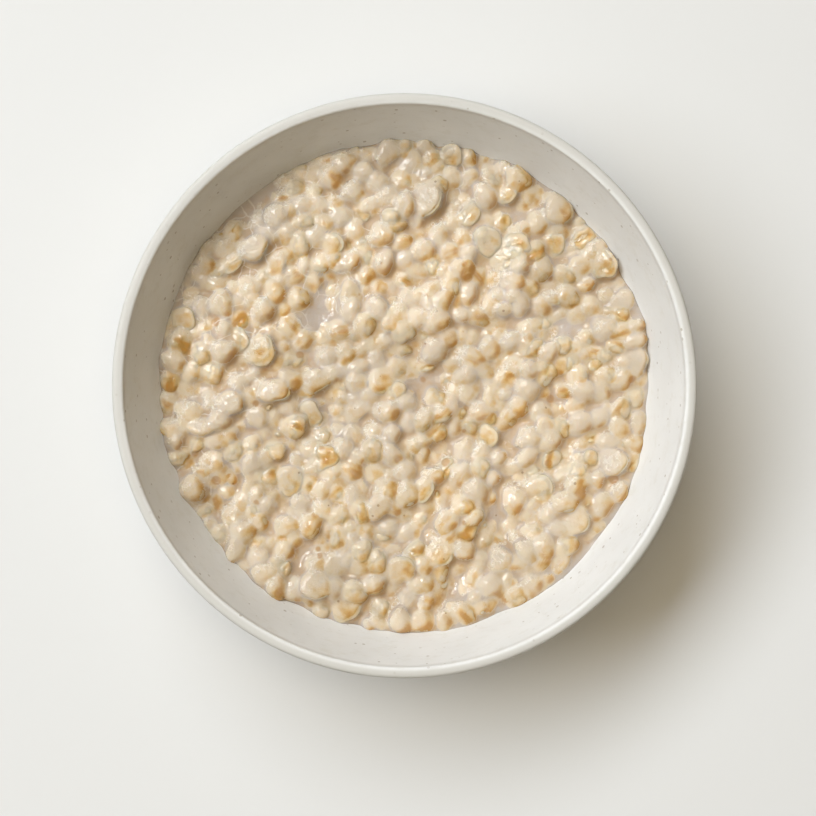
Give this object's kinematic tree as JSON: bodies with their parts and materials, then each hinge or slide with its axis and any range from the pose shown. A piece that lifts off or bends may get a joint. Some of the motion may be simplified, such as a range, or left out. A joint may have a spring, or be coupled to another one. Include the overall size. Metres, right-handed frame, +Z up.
{
  "type": "bowl of porridge",
  "caption": "Round stoneware bowl with a rounded lip and foot ring, filled to below the lip with thick lumpy oat porridge.",
  "frame": {"origin": "on the table, in the middle of the foot ring", "axes": "+Z up, out of the bowl; X and Y are alike, because the bowl is round"},
  "size_m": [0.16, 0.16, 0.052],
  "materials": {
    "speckled_glaze": "satin off-white stoneware glaze with fine grey-brown specks",
    "oat_porridge": "wet, soft, slightly translucent cooked oats in milk"
  },
  "bodies": {
    "root": {"bowl": "speckled_glaze", "porridge": "oat_porridge"}
  },
  "joints": []
}
